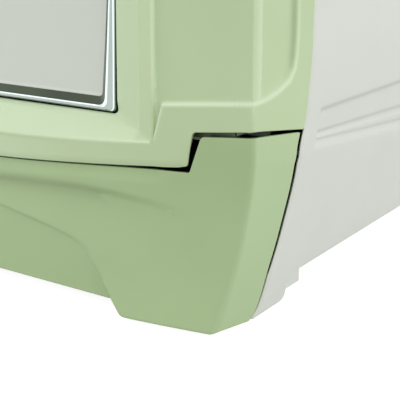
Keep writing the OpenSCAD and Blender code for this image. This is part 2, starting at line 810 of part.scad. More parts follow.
module carry_handle() {
    x = handle_span/2;
    za = handle_axis_z;
    zg = lid_top + handle_proud - grip_d/2;
    color(sage) difference() {
        union() {
            rod_x(handle_y + handle_reach, zg, grip_d/2, -x - arm_t/2, x + arm_t/2);
            both_sides() {
                rod_x(handle_y, za, arm_w/2, x - arm_t/2, x + arm_t/2);
                prism_x([[handle_y - 1, za - arm_w/2 + 1], [handle_y + handle_reach - 2, zg - grip_d/2 + 2],
                         [handle_y + handle_reach, zg + grip_d/2 - 1], [handle_y - 2, za + arm_w/2 - 0.5]],
                        x - arm_t/2, x + arm_t/2);
            }
        }
        rod_x(handle_y, za, handle_pin_r + pin_fit, -half_w, half_w);
    }
}

module handle_pins() {
    color(steel) both_sides() rod_x(handle_y, handle_axis_z, handle_pin_r, handle_span/2 - arm_t/2 - 2, tub_w/2 + 2.5);
}

main_body();
base_plate();
foot_pads();
left_runner();
right_runner();
runner_screws();
front_cover();
cover_screws();
entry_step();
hinge_rod();
door_rim();
door_panel();
litter_drawer();
drawer_front();
drawer_screws();
top_lid();
lid_hinge_pins();
carbon_filter();
filter_cover();
carry_handle();
handle_pins();
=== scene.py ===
# %% [markdown]
# # Drawer litter box
# The box is a housing of milk-white plastic with a sage green front. The front is in two pieces: a cover that
# frames a clear swinging door, and the front of the litter drawer under it. The CAD solids give every size; this
# script gives the pieces their true moulded surfaces, with rounded edges and soft steps, and their finishes.

# %% Load the solids
import bmesh
import bpy
import json
import numpy as np
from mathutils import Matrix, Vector

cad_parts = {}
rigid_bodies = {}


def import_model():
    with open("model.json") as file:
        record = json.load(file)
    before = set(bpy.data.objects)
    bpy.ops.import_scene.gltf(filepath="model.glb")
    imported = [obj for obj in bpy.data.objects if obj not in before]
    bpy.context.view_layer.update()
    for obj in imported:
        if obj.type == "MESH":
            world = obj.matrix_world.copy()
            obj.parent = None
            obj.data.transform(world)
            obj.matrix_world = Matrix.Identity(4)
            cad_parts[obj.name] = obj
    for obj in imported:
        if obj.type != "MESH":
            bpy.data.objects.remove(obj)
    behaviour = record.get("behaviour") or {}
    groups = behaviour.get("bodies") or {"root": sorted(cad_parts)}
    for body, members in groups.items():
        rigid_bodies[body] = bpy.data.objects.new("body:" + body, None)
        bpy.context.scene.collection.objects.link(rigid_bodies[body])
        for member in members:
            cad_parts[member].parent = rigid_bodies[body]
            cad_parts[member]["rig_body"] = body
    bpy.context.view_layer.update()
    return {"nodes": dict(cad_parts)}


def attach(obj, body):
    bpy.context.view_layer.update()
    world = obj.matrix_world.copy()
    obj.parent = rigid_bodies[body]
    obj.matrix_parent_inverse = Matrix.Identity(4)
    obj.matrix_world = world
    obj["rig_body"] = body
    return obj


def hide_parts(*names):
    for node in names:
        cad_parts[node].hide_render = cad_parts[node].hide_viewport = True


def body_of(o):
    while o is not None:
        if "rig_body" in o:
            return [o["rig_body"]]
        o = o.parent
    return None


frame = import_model()
nodes = frame["nodes"]

# %% [markdown]
# ## Sizes
# All lengths in this script are in millimetres, as on a mould drawing, and become metres when a mesh is made. The
# outer form has a bowed front, a crease where the front turns into the side, a leaning seam and tapered sides.

# %% The outer form
MM = 0.001
HALF_W, FRONT_Y, REAR_Y = 215.0, -265.0, 253.0
WAIST_Z, SHOULDER_Z, SPLIT_Z = 105.0, 205.0, 345.0
SIDE_TAPER, BACK_TAPER, SIDE_LEAN, FRONT_LEAN = 16, 10, 8, 3
RETURN_RUN = 14
# The bow falls back by 22.6 at x 201. The toe reaches FRONT_Y at its two foremost points, at FOOT_X and FOOT_Z.
BOW = 22.6/201.0**2
TOE_REACH, TOE_H = 32.5, 100.0
FOOT_X, FOOT_Z = 131.0, 3.0
TOE_Y = FRONT_Y - BOW*FOOT_X**2 - TOE_REACH*(1 - (1 - FOOT_Z/TOE_H)**2)
SEAM_BACK, SEAM_SWEEP, SEAM_POWER, SEAM_LEAN = 48, 27, 2.3, 0.165
FLOOR_SHIFT, SEAM_STEPS = 4, [(60, 36, 2.1), (110, 20, 3.6), (155, 52, -5.7)]
REAR_R = 46.0
DOOR_Y, DOOR_HALF = -227.0, 104.0
HINGE_Y, HINGE_Z = -223.0, 321.0
WALL = 3.0


def lean(z):
    """How far a height is between the shoulder and the lid line, squared."""
    return (np.maximum(0, z - SHOULDER_Z)/(SPLIT_Z - SHOULDER_Z))**2


def side_x(z):
    """Half width of the box: it tapers in below the waist and leans in above the shoulder."""
    return HALF_W - SIDE_TAPER*(1 - np.minimum(z, WAIST_Z)/WAIST_Z) - SIDE_LEAN*lean(z)


def crease_x(z):
    """Half width at the crease between the bowed front and its side return. The return narrows below the waist, to
    0.4 of its run at the floor."""
    return side_x(z) - RETURN_RUN*(0.4 + 0.6*np.minimum(z, WAIST_Z)/WAIST_Z)


def front_y(x, z):
    """The front: a toe that sweeps forward near the floor, plus a bow that falls back as x squared."""
    return TOE_Y + TOE_REACH*(1 - (1 - np.minimum(z, TOE_H)/TOE_H)**2) + FRONT_LEAN*lean(z) + BOW*x*x


def straight_seam_y(z):
    """The seam between green and white: it follows the toe, then leans back in a straight line."""
    low = 1 - np.minimum(z, TOE_H)/TOE_H
    return FRONT_Y + SEAM_BACK + SEAM_SWEEP*(1 - low**SEAM_POWER) + SEAM_LEAN*np.maximum(0, z - TOE_H)


def seam_y(z):
    """The seam as it shows outside: behind the straight one by 4 near the floor, by 2.1 at z 100, by 5.7 at z 145 and
    by nothing above z 207. Each of SEAM_STEPS is a smooth step, with its starting height, its own height and its
    shift."""
    y = straight_seam_y(z) + FLOOR_SHIFT*ease((z + 1)/7)*(1 - ease((z - 6)/32))
    for start, height, shift in SEAM_STEPS:
        y = y + shift*ease((z - start)/height)
    return y


def back_y(z):
    """The back wall, which tapers in below the waist."""
    return REAR_Y - BACK_TAPER*(1 - np.minimum(z, WAIST_Z)/WAIST_Z)


def ease(t):
    """Smooth step from 0 to 1: 3 t squared minus 2 t cubed."""
    t = np.clip(t, 0, 1)
    return t*t*(3 - 2*t)


def unit(v):
    """Vectors scaled to length one."""
    return v/np.maximum(np.linalg.norm(v, axis=-1, keepdims=True), 1e-9)


# %% [markdown]
# ## Outlines
# A moulded cover is a curved skin cut to an outline, so most pieces start as flat outlines in two coordinates:
# s, the distance along the front from its middle, and z, the height. Corners are rounded here, once.

# %% Outline helpers
def rounded(corners, radii, steps=7):
    """Line round the corners between the first and the last, which only give directions. Each corner is replaced by
    a quadratic curve that starts and ends its radius away."""
    line, r = np.array(corners, float), np.array(radii, float)[:, None]
    before, p, after = line[:-2], line[1:-1], line[2:]
    a, b = p + unit(before - p)*r, p + unit(after - p)*r
    t = np.linspace(0, 1, steps)[None, :, None]
    return ((1 - t)**2*a[:, None] + 2*t*(1 - t)*p[:, None] + t*t*b[:, None]).reshape(-1, 2)


def lengths(line):
    """Distance along a line from its start to each of its points."""
    return np.concatenate([[0], np.cumsum(np.linalg.norm(np.diff(line, axis=0), axis=1))])


def dense(line, step=0.4):
    """The same line with a point every step."""
    own = lengths(line)
    at = np.linspace(0, own[-1], int(own[-1]/step) + 1)
    return np.stack([np.interp(at, own, line[:, k]) for k in range(line.shape[1])], -1)


def spread(line, knots, counts):
    """Points along a line: the knots are found on it, and counts gives the steps between one knot and the next."""
    line = dense(line)
    own = lengths(line)
    found = own[[np.argmin(((line - k)**2).sum(1)) for k in np.array(knots, float)]]
    at = np.concatenate([[found[0]]] + [np.linspace(a, b, n + 1)[1:] for a, b, n in zip(found, found[1:], counts)])
    return np.stack([np.interp(at, own, line[:, k]) for k in range(line.shape[1])], -1)


def inside_by(outline, s, z):
    """How far inside a closed outline each point lies: the distance to its nearest edge, negative outside."""
    a, b = outline, np.roll(outline, -1, 0)
    p, ab = np.stack([s, z], -1)[..., None, :], b - a
    t = np.clip(((p - a)*ab).sum(-1)/np.maximum((ab**2).sum(-1), 1e-9), 0, 1)
    away = np.linalg.norm(p - (a + t[..., None]*ab), axis=-1).min(-1)
    height = np.where(np.abs(ab[:, 1]) < 1e-9, 1e-9, ab[:, 1])
    across = p[..., 0] < ab[:, 0]*(p[..., 1] - a[:, 1])/height + a[:, 0]
    crossed = ((a[:, 1] > p[..., 1]) != (b[:, 1] > p[..., 1])) & across
    return np.where(crossed.sum(-1) % 2 == 1, away, -away)


# %% [markdown]
# ## From a skin to a moulded shell
# A skin is a grid of points. A moulding also has a wall and rounded edges, which catch the light. The shell
# function adds both: the edge of the skin rolls over in a quarter circle, drops through the wall and closes on an
# inner skin, so that every piece is watertight.

# %% Meshes
def outward(points, faces):
    """Faces of a closed mesh turned so that its signed volume, summed over fans of triangles, is positive."""
    fans = np.array([(f[0], f[i], f[i + 1]) for f in faces for i in range(1, len(f) - 1)])
    a, b, c = (np.asarray(points)[fans[:, k]] for k in range(3))
    return faces if (a*np.cross(b, c)).sum() > 0 else [list(f)[::-1] for f in faces]


def make_piece(name, parts, body, finish, replaces=(), sharp=50):
    """One object from a list of closed parts in millimetres, each with its points and faces. Edges sharper than the
    angle stay crisp and the rest shade smooth."""
    points = np.concatenate([p for p, _ in parts])
    starts = np.cumsum([0] + [len(p) for p, _ in parts])
    faces = [[v + int(start) for v in f] for start, (p, own) in zip(starts, parts) for f in outward(p, own)]
    mesh = bpy.data.meshes.new(name)
    mesh.from_pydata((points*MM).tolist(), [], faces)
    mesh.polygons.foreach_set("use_smooth", np.ones(len(mesh.polygons), bool))
    mesh.update()
    mesh.set_sharp_from_angle(angle=np.radians(sharp))
    mesh.materials.append(finish)
    piece = bpy.data.objects.new(name, mesh)
    bpy.context.scene.collection.objects.link(piece)
    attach(piece, body)
    if replaces:
        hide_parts(*replaces)
    print(f"{name}: {len(points)} points, {len(faces)} faces")
    return piece


def points_of(piece):
    """The x, y and z of a piece's points in millimetres."""
    place = np.empty(3*len(piece.data.vertices))
    piece.data.vertices.foreach_get("co", place)
    return (place.reshape(-1, 3)/MM).T


def set_painted_light(piece, painted_light):
    """Stores painted light on each point: above 0 a painted highlight makes it paler, below 0 painted shade makes it
    darker.
    """
    piece.data.attributes.new("painted_light", "FLOAT", "POINT").data.foreach_set("value", np.float32(painted_light))
    print(piece.name, "points with a changed tint:", int((np.abs(painted_light) > 0.1).sum()))


def bump_at(distance, width):
    """A bell: 1 at distance zero, falling as the exponential of minus its square over the width."""
    return np.exp(-(distance/width)**2)


def grid_faces(index, wrap=False):
    """Quads between neighbouring rows and columns of an index grid; wrap joins the last column to the first."""
    right = np.roll(index, -1, 1) if wrap else index[:, 1:]
    left = index if wrap else index[:, :-1]
    return np.stack([left[:-1], right[:-1], right[1:], left[1:]], -1).reshape(-1, 4)


def loft(sections):
    """Closed bar through a row of plane sections that have the same number of corners."""
    sections = np.asarray(sections, float)
    index = np.arange(sections.shape[0]*sections.shape[1]).reshape(sections.shape[:2])
    ends = [index[0].tolist(), index[-1][::-1].tolist()]
    return sections.reshape(-1, 3), grid_faces(index, True)[:, ::-1].tolist() + ends


def block(low, high):
    """A box between two corners."""
    (x0, y0, z0), (x1, y1, z1) = low, high
    return loft([[(x, y0, z0), (x, y1, z0), (x, y1, z1), (x, y0, z1)] for x in (x0, x1)])


def tube(start, end, radius, bore, axis, round_off=0.5, around=40):
    """Tube from start to end, towards +X or +Y: a profile with rounded rims, turned about the tube's axis."""
    start, end = np.array(start, float), np.array(end, float)
    length, r = np.linalg.norm(end - start), round_off
    profile = np.array([(bore, 0), (radius - r, 0), (radius - 0.3*r, 0.3*r), (radius, r), (radius, length - r),
                        (radius - 0.3*r, length - 0.3*r), (radius - r, length), (bore, length)])
    turn = np.linspace(0, 2*np.pi, around, endpoint=False)
    out, run = profile[:, 0:1], np.tile(profile[:, 1:2], (1, around))
    wide, high = out*np.cos(turn), out*np.sin(turn)
    local = np.stack([run, wide, high] if axis == "x" else [wide, run, high], -1)
    index = np.arange(local[..., 0].size).reshape(local.shape[:2])
    faces = grid_faces(np.concatenate([index, index[:1]]), True)
    return (start + local).reshape(-1, 3), faces.tolist()


def pair(part):
    """A part and its mirror image on the other side of the middle plane."""
    points, faces = part
    return [part, (points*[-1, 1, 1], faces)]


def skin_normals(skin, ring):
    """Unit normals of a grid: the cross product of its two directions."""
    along = (np.roll(skin, -1, 1) - np.roll(skin, 1, 1)) if ring else np.gradient(skin, axis=1)
    return unit(np.cross(along, np.gradient(skin, axis=0)))


RIM_ANGLES = np.radians([25, 50, 70, 90])


def shell(skin, wall, edge, ring=False, core=(0, 0, 200)):
    """Closed shell under a skin. The rim follows a quarter circle of radius edge outwards and down, then the wall,
    which is one thickness or a grid of them, and ends in a chamfer of 0.4 edges. The core is a point inside the box,
    which tells the outer side from the inner one."""
    normal = skin_normals(skin, ring)
    wall = np.broadcast_to(wall, skin.shape[:2])
    if (normal*(skin - np.array(core, float))).sum() < 0:
        skin, wall = skin[:, ::-1], wall[:, ::-1]
        normal = skin_normals(skin, ring)
    rows, cols = skin.shape[:2]
    count = rows*cols
    index = np.arange(count).reshape(rows, cols)
    if ring:
        rims = [index[0], index[-1][::-1]]
    else:
        rims = [np.concatenate([index[0], index[1:, -1], index[-1, -2::-1], index[-2:0:-1, 0]])]
    outer, flat_n, thick = skin.reshape(-1, 3), normal.reshape(-1, 3), wall.reshape(-1, 1)
    points, faces = [outer, outer - flat_n*thick], [grid_faces(index, ring), grid_faces(index + count, ring)[:, ::-1]]
    made = 2*count
    chamfer = 0.4*edge
    steps = [(np.sin(a)*edge, (1 - np.cos(a))*edge, 0) for a in RIM_ANGLES]
    steps += [(edge, -chamfer, 1), (edge - chamfer, 0, 1)]
    for rim in rims:
        p, n = outer[rim], flat_n[rim]
        out = unit(np.cross(np.roll(p, -1, 0) - np.roll(p, 1, 0), n))
        lip = np.stack([p + out*a - n*(b + share*thick[rim]) for a, b, share in steps])
        own = np.arange(made, made + lip.shape[0]*lip.shape[1]).reshape(lip.shape[:2])
        made += own.size
        band = np.concatenate([rim[None], own, rim[None] + count])
        points.append(lip.reshape(-1, 3))
        faces.append(grid_faces(band, True)[:, [1, 0, 3, 2]])
    return np.concatenate(points), np.concatenate(faces).tolist()


# %% [markdown]
# ## Finishes
# The body is injection-moulded ABS with a satin texture from the mould: broad soft highlights, no grain that the
# eye can follow, and a trace of unevenness in the gloss. One function turns sRGB hex colours into linear ones.

# %% Colours and the node helper
def linear(code):
    """Linear colour from an sRGB hex code: each channel is decoded with the sRGB curve."""
    c = np.array([int(code[i:i + 2], 16)/255 for i in (1, 3, 5)])
    return (*np.where(c <= 0.04045, c/12.92, ((c + 0.055)/1.055)**2.4), 1.0)


def add(tree, kind, inputs=None, **settings):
    """One node with its settings; an input is a value, or the output socket it is linked from."""
    new = tree.nodes.new(kind)
    for key, value in settings.items():
        setattr(new, key, value)
    for key, value in (inputs or {}).items():
        if isinstance(value, bpy.types.NodeSocket):
            tree.links.new(value, new.inputs[key])
        else:
            new.inputs[key].default_value = value
    return new


CLOUD_MM, GLOSS_SPREAD, DENT_MM = 60, 0.03, 0.02


def moulded(name, dark, light, rough, grain_mm, bump, painted_highlight_tint=None, corners=None, metallic=0.0):
    """Plastic from a textured mould: two close tints in soft clouds, uneven gloss and a fine grain in the bump. Where a
    piece's attribute of painted light is above 0, a painted highlight mixes in the paler tint; below 0, painted shade
    mixes in the corners tint."""
    material = bpy.data.materials.new(name)
    material.use_nodes = True
    tree = material.node_tree
    shader = tree.nodes["Principled BSDF"]
    place = add(tree, "ShaderNodeTexCoord").outputs["Object"]
    clouds = add(tree, "ShaderNodeTexNoise", {"Vector": place, "Scale": 1/(CLOUD_MM*MM), "Detail": 2.0})
    ramp = add(tree, "ShaderNodeValToRGB", {"Fac": clouds.outputs["Fac"]})
    ramp.color_ramp.elements[0].position, ramp.color_ramp.elements[1].position = 0.3, 0.7
    ramp.color_ramp.elements[0].color, ramp.color_ramp.elements[1].color = linear(dark), linear(light)
    painted_light = add(tree, "ShaderNodeAttribute", attribute_name="painted_light")
    # Below 0 the attribute mixes in the corners tint as painted shade; above 0 it mixes in the paler tint as a painted
    # highlight.
    corner = add(tree, "ShaderNodeMath", {0: painted_light.outputs["Fac"], 1: -1.0}, operation="MULTIPLY")
    bright = add(tree, "ShaderNodeMix", {0: painted_light.outputs["Fac"], 6: ramp.outputs["Color"], 7: linear(painted_highlight_tint or light)},
                 data_type="RGBA")
    tint = add(tree, "ShaderNodeMix", {0: corner.outputs[0], 6: bright.outputs[2], 7: linear(corners or dark)},
               data_type="RGBA")
    tree.links.new(tint.outputs[2], shader.inputs["Base Color"])
    gloss = add(tree, "ShaderNodeMapRange", {"Value": clouds.outputs["Fac"], "To Min": rough - GLOSS_SPREAD,
                                             "To Max": rough + GLOSS_SPREAD})
    tree.links.new(gloss.outputs["Result"], shader.inputs["Roughness"])
    grain = add(tree, "ShaderNodeTexNoise", {"Vector": place, "Scale": 1/(grain_mm*MM), "Detail": 1.0})
    dent = add(tree, "ShaderNodeBump", {"Height": grain.outputs["Fac"], "Strength": bump, "Distance": DENT_MM*MM})
    tree.links.new(dent.outputs["Normal"], shader.inputs["Normal"])
    shader.inputs["Metallic"].default_value = metallic
    return material


# For these three plastics the last two colours are the tints of painted highlight and of painted shade.
sage_abs = moulded("Sage_ABS_satin_moulded", "#C1D5A9", "#C5D9AE", 0.42, 0.5, 0.25, "#E2F4D4", "#46553A")
deep_sage_abs = moulded("Deep_sage_ABS_satin_moulded", "#A7BE8D", "#ABC291", 0.42, 0.5, 0.25, "#C9DFB4", "#414F35")
milk_abs = moulded("Milk_white_ABS_satin_moulded", "#D8DCD4", "#DCE0D8", 0.45, 0.5, 0.25, "#EAEDE6", "#B2B6AC")
tray_pp = moulded("Grey_polypropylene_moulded", "#C4C8C0", "#C9CDC5", 0.5, 0.6, 0.3)
rubber = moulded("Black_rubber_moulded", "#2B2D2E", "#333536", 0.75, 0.4, 0.4)
charcoal = moulded("Charcoal_foam_cut", "#242627", "#303233", 0.95, 1.6, 1.0)
steel = moulded("Plain_steel_turned", "#B4B6B9", "#BDBFC2", 0.32, 0.3, 0.2, metallic=1.0)

# %% [markdown]
# The door is clear styrene acrylic. Its rim is thick and polished with a silvered back, and its bright line and dark
# band are a painted highlight and painted shade; the pane has a fine frost and looks pale grey against the dark inside.

# %% Clear plastics
def clear_plastic(name, colour, rough, see_through, painted_highlight_tint=None):
    """Clear plastic: a dielectric of index 1.49 that lets light through, with a slight unevenness in its gloss."""
    material = moulded(name, colour, colour, rough + GLOSS_SPREAD, 20, 0.05, painted_highlight_tint)
    shader = material.node_tree.nodes["Principled BSDF"]
    shader.inputs["IOR"].default_value = 1.49
    shader.inputs["Transmission Weight"].default_value = see_through
    return material


clear_rim = clear_plastic("Clear_acrylic_polished", "#F4F7F4", 0.03, 0.9)
# The pane's last colour is the tint of a painted highlight line near its lower edge.
clear_pane = clear_plastic("Clear_acrylic_frosted", "#E6ECE2", 0.22, 0.12, "#FBFCF8")
silvered = moulded("Clear_acrylic_silvered_back", "#98A29E", "#A0AAA6", 0.12, 12, 0.05, metallic=1.0)
# The next two finishes paint the rim's bright line as a painted highlight and its dark band as painted shade.
rim_painted_highlight = moulded("Clear_acrylic_painted_highlight", "#CFD9DB", "#D6E0E2", 0.08, 12, 0.05, metallic=1.0)
rim_painted_shade = moulded("Clear_acrylic_painted_shade", "#3A4832", "#4B5A41", 0.16, 6, 0.3)

# %% [markdown]
# ## The green front
# Both green pieces are cut from one skin. In plan it is the bow, then a rounded crease, then a nearly straight
# return to the seam, so a point is found from s along that line, z, and the depth below the skin.

# %% One skin for both green pieces
def front_skin(s, z, depth, soft):
    """Point on the green front: a bow for s before the crease, a straight return after it, and a quadratic curve
    of half length soft between them. Depth moves the point inwards, square to the plan line."""
    a, sign = np.abs(s), np.where(s < 0, -1.0, 1.0)
    c, side, seam = crease_x(z), side_x(z), seam_y(z)
    corner = np.stack([c, front_y(c, z)], -1)
    run = unit(np.stack([side, seam], -1) - corner)

    def bow(x):
        return np.stack([x, front_y(x, z)], -1)

    t = np.clip((a - c + soft)/(2*soft), 0, 1)[..., None]
    start, end = bow(c - soft), corner + run*soft
    curve = (1 - t)**2*start + 2*t*(1 - t)*corner + t*t*end
    point = np.where((a < c - soft)[..., None], bow(np.minimum(a, c)), curve)
    point = np.where((a > c + soft)[..., None], corner + run*(a - c)[..., None], point)
    slope = np.stack([np.ones_like(a), 2*BOW*np.minimum(a, c)], -1)
    tangent = unit(unit(slope)*(1 - t) + run*t)
    point = point + np.stack([-tangent[..., 1], tangent[..., 0]], -1)*depth[..., None]
    return np.stack([point[..., 0]*sign, point[..., 1], z + 0*a], -1)


def seam_s(z):
    """Where the seam lies in s at each height: the crease plus the length of the return."""
    c = crease_x(z)
    return c + np.hypot(side_x(z) - c, seam_y(z) - front_y(c, z))


print("seam at the drawer top:", round(float(seam_s(np.array(119.0))), 1), "mm from the middle")

# %% [markdown]
# ### The cover
# The cover is a ring round the door. Its grid has lines from the door opening outwards, through the facets of the
# surround and the ridge, to the stepped lower edge, the seam and the lid line. Loops of points at each of those
# lines keep the facets crisp, and the pressed field beside the door is a soft step in depth.

# %% Loops of the cover, right half, from the bottom middle to the top middle
EDGE = 0.8
GAP = 0.3
TAB_Z, TAB_RISE, TAB_HALF = 87.6, 10.6, 158.4
SILL_Z, SILL_RISE, RIDGE_HALF = 106, 6, 134
OPEN_HALF, OPEN_LOW, OPEN_TOP = 103.2, 125.2, 328.4


def sill_z(x):
    """Height of the sill line: 106 in the middle, rising as x to the power 1.5."""
    return SILL_Z + SILL_RISE*(np.abs(x)/RIDGE_HALF)**1.5


def tab_z(x):
    """Height of the tab's lower edge: 87.6 in the middle, rising 10.6 to its ends as x to the power 1.2."""
    return TAB_Z + TAB_RISE*(np.abs(x)/TAB_HALF)**1.2


tab_xs = np.linspace(0, 150, 40)
tab_line = np.stack([tab_xs, tab_z(tab_xs) + EDGE], -1)
top_z = SPLIT_Z - GAP - EDGE
ledge_line = rounded([[150, tab_z(150) + EDGE], [TAB_HALF - 0.5, 98.8 + EDGE], [161.3, 121.4 + EDGE],
                      [183, 123.2 + EDGE], [202, 124.8 + EDGE], [222, 123.6 + EDGE]], [2.4, 3.6, 4, 6])
zs = np.linspace(121.6 + EDGE, top_z, 120)
seam_line = np.stack([seam_s(zs) - GAP/2 - EDGE, zs], -1)
outer_half = np.concatenate([tab_line, ledge_line, seam_line, [[0, top_z]]])
sill_xs = np.linspace(0, 132, 60)
ridge_half = np.concatenate([
    np.stack([sill_xs, sill_z(sill_xs)], -1),
    [[133.2, 112.2], [133.9, 113.2], [134, 115], [134, 330], [133, 335], [128, 336], [0, 336]]])
facet_half = np.array([[0, 123.3], [45, 122.6], [80, 121.0], [107, 119.2], [119, 118.3], [120.7, 119.2], [121, 121],
                       [121, 328], [120, 331.5], [117, 332], [0, 332]])
hole_half = np.concatenate([
    [[0, OPEN_LOW]],
    rounded([[90, OPEN_LOW], [OPEN_HALF - 1.3, OPEN_LOW], [OPEN_HALF - 1, 140]], [4.6], 9),
    [[OPEN_HALF, 215]],
    rounded([[OPEN_HALF, 300], [OPEN_HALF, OPEN_TOP], [90, OPEN_TOP]], [3], 9),
    [[0, OPEN_TOP]]])

# Knots with the same number on the four loops are joined by one column; counts gives the columns between two knots.
counts = [26, 6, 14, 12, 20, 34, 56, 20, 6, 12]
outer_knots = [[0, 88.4], [151, 98.4], [157.8, 99.8], [160.7, 118.6], [165.4, 122.5], [202, 125.4], [237.5, 122.4],
               [240.6, 165], [243, top_z], [200, top_z], [0, top_z]]
ridge_knots = [[0, 106], [118, 111], [124, 111.4], [133.6, 112.6], [134, 128], [134, 140], [134, 156], [134, 190],
               [134, 329], [127, 336], [0, 336]]
facet_knots = [[0, 123.3], [104, 119.4], [110, 119.0], [120.4, 118.9], [121, 130], [121, 141], [121, 158], [121, 190],
               [121, 327], [116, 332], [0, 332]]
hole_knots = [[0, 125.2], [95, 125.2], [97.2, 125.2], [101.4, 128], [101.9, 136], [102, 146], [102.2, 160],
              [102.5, 190], [103, 325.4], [100, 328.4], [0, 328.4]]
outer = spread(outer_half, outer_knots, counts)
ridge = spread(ridge_half, ridge_knots, counts)
facet = spread(facet_half, facet_knots, counts)
hole = spread(hole_half, hole_knots, counts)
print("columns on each half of the cover:", len(outer))

# %% The cover's skin
FIELD_DEPTH, ROLL, ROLL_DEPTH, COVER_SOFT = 2.6, 4.5, 1.1, 2.2
SILL_SETBACK, FACET_OUT = 1.2, 2.2
field = np.array([[134.6, 112.6], [141.8, 136.9], [167, 138.8], [183, 140.0], [200, 141.2], [208, 142.4], [214, 144],
                  [222, 147.2], [231.1, 152.5], [235.5, 160], [237.2, 170], [237.6, 180], [237.6, 318], [233, 328],
                  [222, 332], [134.6, 332]])
lower_edge = np.concatenate([outer_half[::5], (outer_half[1:-1:5]*[-1, 1])[::-1]])


def field_rise(s):
    """Width of the field's sloping wall: short beside the ridge, 2.6 below the field and 4.6 at its far side."""
    return np.interp(s, [134, 138, 143, 205, 226], [1.7, 1.7, 2.6, 2.6, 4.6])


def cover_depth(s, z):
    """Depth of the pressed field, a smooth step inwards from its outline, plus a roll along the tab's lower edge:
    the square of the nearness to the edge."""
    a = np.abs(s)
    pressed = FIELD_DEPTH*ease(inside_by(field, a, z)/field_rise(a))
    near = np.clip(1 - inside_by(lower_edge, s, z)/ROLL, 0, 1)
    return pressed + ROLL_DEPTH*near**2*ease((118 - z)/12)


def ring_rows(first, last, fractions):
    """Rows between two loops, at fractions of the way from the first to the last."""
    f = np.array(fractions)[:, None, None]
    return first*(1 - f) + last*f


def to_skin(loop):
    """The 3-D place of a loop given in s and z on the green front."""
    return front_skin(loop[..., 0], loop[..., 1], cover_depth(loop[..., 0], loop[..., 1]), COVER_SOFT)


hole_3d = np.stack([hole[:, 0], DOOR_Y + SILL_SETBACK*ease((136 - hole[:, 1])/9), hole[:, 1]], -1)
facet_3d = np.stack([facet[:, 0], np.full(len(facet), DOOR_Y - FACET_OUT), facet[:, 1]], -1)
ridge_3d = to_skin(ridge)
facet_fr = [0, 0.25, 0.5, 0.75, 0.93]
bevel_fr = [0, 0.07, 0.2, 0.4, 0.6, 0.8, 0.93]
outside_fr = np.concatenate([[0, 0.004, 0.009, 0.014, 0.02, 0.028, 0.038, 0.05, 0.064], np.linspace(0.08, 0.59, 24),
                             np.linspace(0.604, 0.68, 14), np.linspace(0.7, 0.85, 11),
                             np.linspace(0.862, 0.992, 26), [1]])
half_skin = np.concatenate([ring_rows(hole_3d, facet_3d, facet_fr), ring_rows(facet_3d, ridge_3d, bevel_fr),
                            to_skin(ring_rows(ridge, outer, outside_fr))])
cover_skin = np.concatenate([half_skin, half_skin[:, -2:0:-1]*[-1, 1, 1]], 1)
print("cover's grid:", cover_skin.shape[:2])
cover = shell(cover_skin, WALL, EDGE, ring=True)

# %% The cover's flanges, hinge lugs and the rib behind the ledge gap, painted as shade
FLANGE_W = 15
flange_z = np.array([131, 170, 205, 240, 275, 310, 339.0])


def seam_flange(inset, y0, y1):
    """A strip inside the wall, from y0 to y1 behind the straight seam, which carries the screws that hold the cover.
    It tucks in where the seam bows back."""
    y = straight_seam_y(flange_z)
    x = side_x(flange_z) - inset - 0.5*(seam_y(flange_z) - y)
    corners = ((-FLANGE_W, y0), (0, y0), (0, y1), (-FLANGE_W, y1))
    return loft(np.stack([np.stack([x + a, y + b, flange_z], -1) for a, b in corners], 1))


lug = block((DOOR_HALF + 0.6, -229, 312), (DOOR_HALF + 9.6, -215, 329))
front_flange = seam_flange(2, -4, -1)
# The rib sits behind the ledge gap and is painted darkest, as painted shade in the gap.
gap_shade_rib = block((158, -221, 117), (188, -219, 124.5))
front_cover = make_piece("front_cover_moulding", [cover, *pair(lug), *pair(front_flange), *pair(gap_shade_rib)], "housing",
                         sage_abs, ["front_cover"])

# %% Painted highlights and painted shade on the cover
x, y, z = points_of(front_cover)
a, c = np.abs(x), crease_x(z)
s = np.where(a <= c, a, c + np.hypot(a - c, y - front_y(c, z)))
on_front = y < -224.5
in_field = inside_by(field, s, z)
# Painted highlights, in turn: the door's surround, the ridge beside it, the crease, the sill line, the rim of the
# field, the tab.
painted_light = np.maximum.reduce([
    0.32*(a < 121)*(z < 332)*ease((z - 100)/8)*(z > sill_z(a) - 1)*on_front,
    0.6*bump_at(a - 134.9, 0.8)*ease((z - 128)/30)*on_front,
    0.5*bump_at(s - c, 1.3)*ease((z - 128)/20),
    0.55*bump_at(z - sill_z(a) - 0.4, 1.0)*(a < 133)*on_front,
    0.9*bump_at(in_field - 0.4, 1.3)*(s > 136)*ease((250 - z)/90),
    0.3*ease((sill_z(a) - 1 - z)/3)*(1 - ease(a/110))])
# Painted shade: the foot of the field's far wall is darker, and the rib behind the gap is painted darkest.
painted_shade_wall = bump_at(in_field - 2.8, 2.2)*ease((s - 221)/12)*ease((z - 146)/26)
on_gap_shade_rib = (y > -221.5) & (y < -218.5) & (z < 124.7)
set_painted_light(front_cover, np.where(on_gap_shade_rib, -1, painted_light*(1 - painted_shade_wall) - 0.26*painted_shade_wall))

# %% [markdown]
# ### The drawer front
# The same skin carries on downwards and sweeps forward into a toe. An arch is pulled in for the fingers, a soft
# step runs across above it, and the top edge follows the cover's stepped edge with a narrow gap.

# %% The drawer front's outline and skin
GRIP_Z, SEAM_GAP = 9.0, 2.6


def under_tab(x):
    """The drawer's top edge under the tab: the gap grows from 0.6 mm in the middle as the fourth power of x."""
    return tab_z(x) - EDGE - 0.6 - 2.3*(x/TAB_HALF)**4


